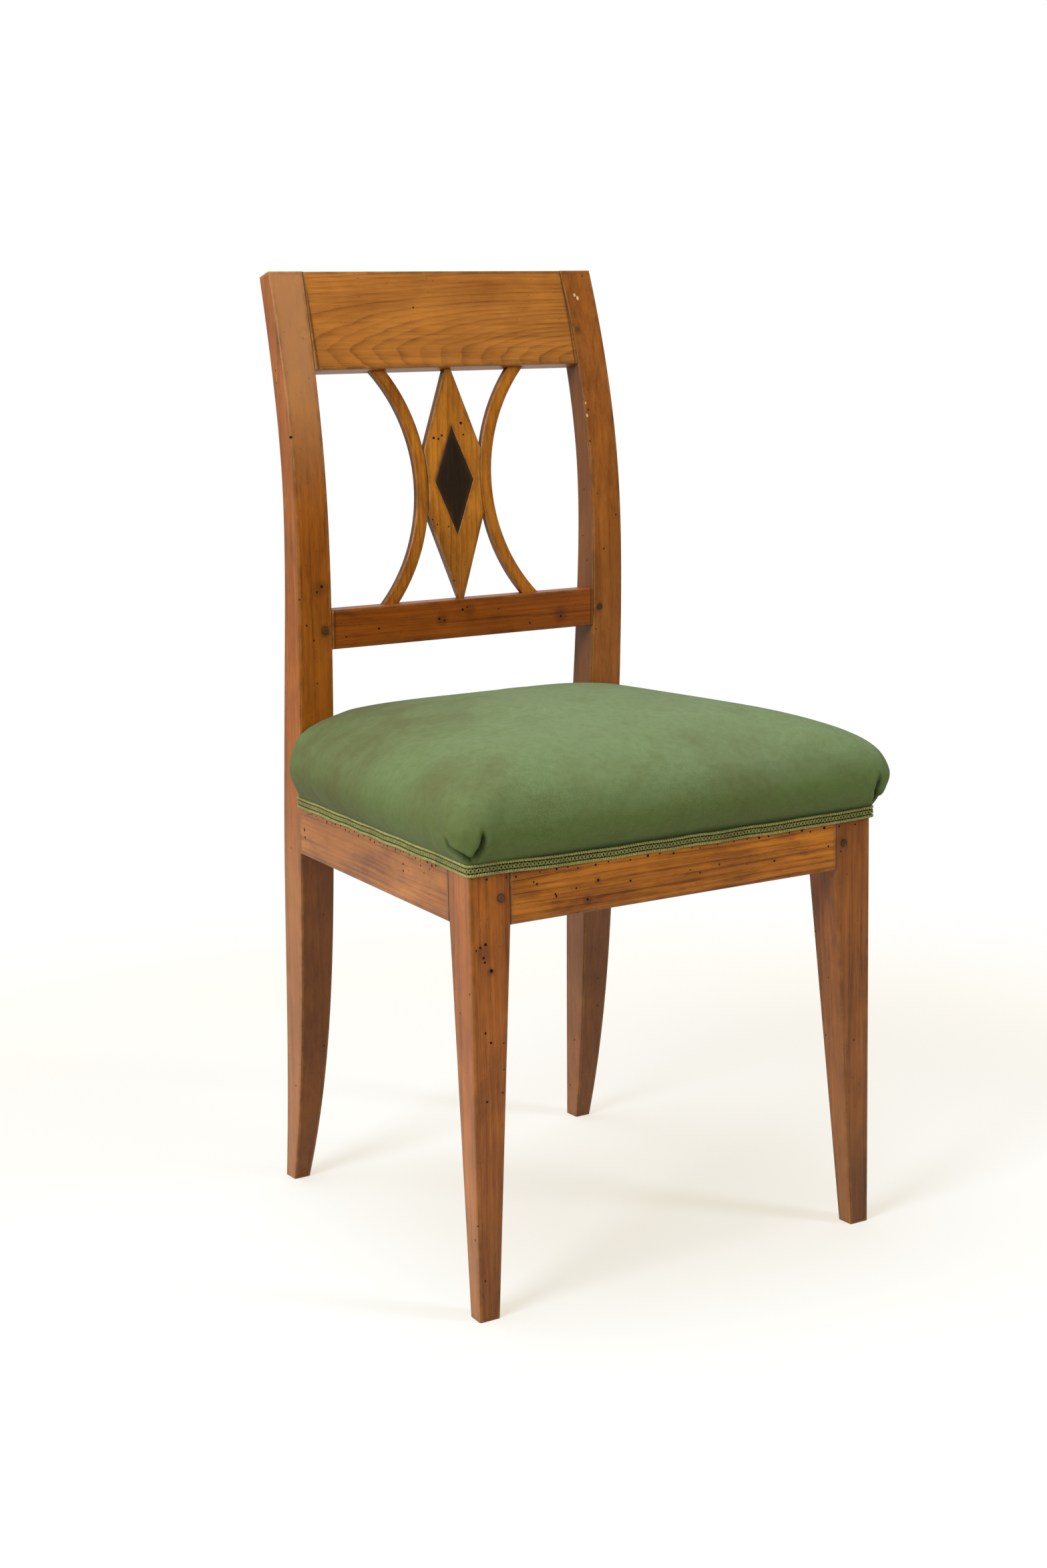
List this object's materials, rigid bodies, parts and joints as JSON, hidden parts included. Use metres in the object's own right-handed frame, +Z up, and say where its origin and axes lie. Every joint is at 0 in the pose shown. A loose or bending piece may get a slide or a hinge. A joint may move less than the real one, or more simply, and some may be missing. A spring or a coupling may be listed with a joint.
{
  "type": "biedermeier side chair",
  "caption": "Fruitwood side chair with sabre rear legs, tapered front legs, a lozenge splat between bows, and a stuffed green cloth seat edged with braid.",
  "frame": {"origin": "on the floor, under the middle of the chair's outline", "axes": "+X to the right of someone facing the chair, +Y from front to back, +Z up"},
  "size_m": [0.459, 0.451, 0.88],
  "materials": {
    "fruitwood": "old polish, satin",
    "ebonised_wood": "black stained, polished",
    "peg_wood": "end grain, polished over",
    "beech": "planed, unpolished",
    "steel": "plain",
    "tack_iron": "blued",
    "jute_webbing": "twill webbing",
    "hessian": "open plain weave",
    "stuffing": "teased hair",
    "green_cloth": "matte woven cloth, faded",
    "braid": "woven braid"
  },
  "bodies": {
    "root": {"front_leg_right": "fruitwood", "front_leg_left": "fruitwood", "rear_leg_right": "fruitwood", "rear_leg_left": "fruitwood", "front_rail": "fruitwood", "rear_rail": "fruitwood", "side_rail_right": "fruitwood", "side_rail_left": "fruitwood", "stay_rail": "fruitwood", "crest_rail": "fruitwood", "splat_bow_right": "fruitwood", "splat_bow_left": "fruitwood", "splat_lozenge": "fruitwood", "lozenge_inlay": "ebonised_wood", "front_rail_pegs": "peg_wood", "stay_rail_pegs": "peg_wood", "crest_rail_pegs": "peg_wood", "corner_block_front_right": "beech", "corner_block_front_left": "beech", "corner_block_rear_right": "beech", "corner_block_rear_left": "beech", "corner_block_screws": "steel", "webbing_tacks": "tack_iron", "cover_tacks": "tack_iron", "webbing_front_to_back": "jute_webbing", "webbing_side_to_side": "jute_webbing", "hessian": "hessian", "seat_stuffing": "stuffing", "seat_cover": "green_cloth", "braid_front_and_sides": "braid", "braid_back": "braid"}
  },
  "joints": []
}
